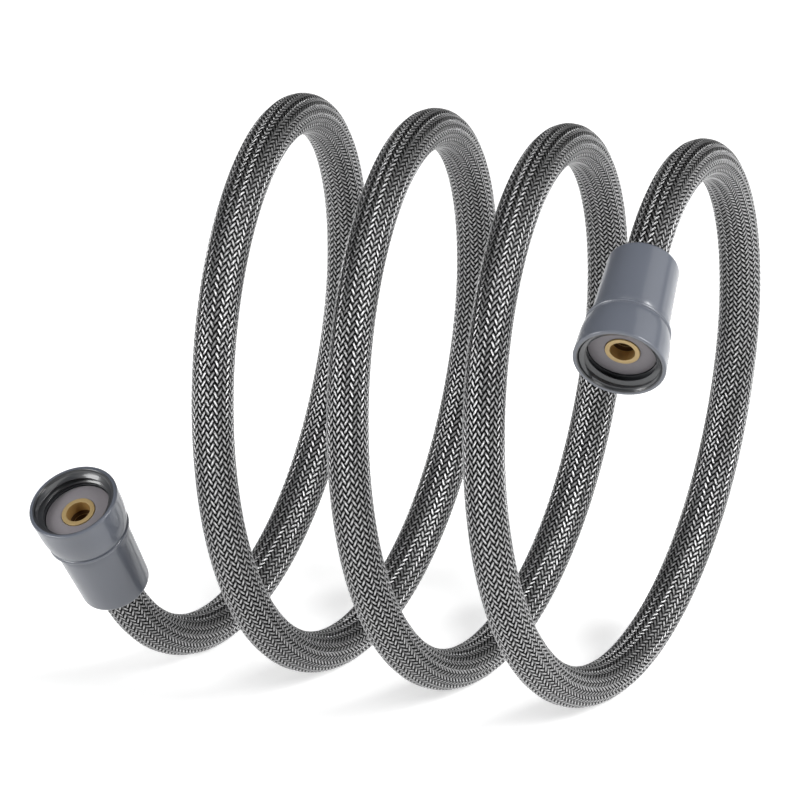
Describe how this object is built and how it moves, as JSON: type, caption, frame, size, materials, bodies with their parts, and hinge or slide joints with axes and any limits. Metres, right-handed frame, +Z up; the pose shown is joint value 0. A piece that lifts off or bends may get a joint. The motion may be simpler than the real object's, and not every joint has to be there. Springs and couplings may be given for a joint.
{
  "type": "shower hose",
  "caption": "Braided shower hose lying in an open coil, with a swivelling threaded nut, flat washer and brass insert at each end.",
  "frame": {"origin": "middle of the coil's underside, on the surface that it lies on", "axes": "+Z up, +X along the coil's axis from nut A to nut B, -Y towards the sockets' open side"},
  "size_m": [0.176, 0.1598, 0.1533],
  "materials": {
    "braided_hose": "satin",
    "grey_plastic": "gloss",
    "washer_rubber": "matte",
    "brass": "satin",
    "ferrule_steel": "satin"
  },
  "bodies": {
    "hose_with_inserts": {"hose": "braided_hose", "insert_a": "brass", "insert_b": "brass", "ferrule_a": "ferrule_steel", "ferrule_b": "ferrule_steel"},
    "swivel_nut_a": {"nut_a": "grey_plastic", "washer_a": "washer_rubber"},
    "swivel_nut_b": {"nut_b": "grey_plastic", "washer_b": "washer_rubber"}
  },
  "joints": [
    {"name": "nut_a_swivel", "type": "hinge", "parent": "hose_with_inserts", "child": "swivel_nut_a", "pos_m": [-0.07136, -0.05154, 0.03361], "axis": [-0.1352, -0.5309, 0.8366], "continuous": true},
    {"name": "nut_b_swivel", "type": "hinge", "parent": "hose_with_inserts", "child": "swivel_nut_b", "pos_m": [0.07199, -0.04022, 0.13589], "axis": [0.116, -0.8579, -0.5005], "continuous": true}
  ]
}
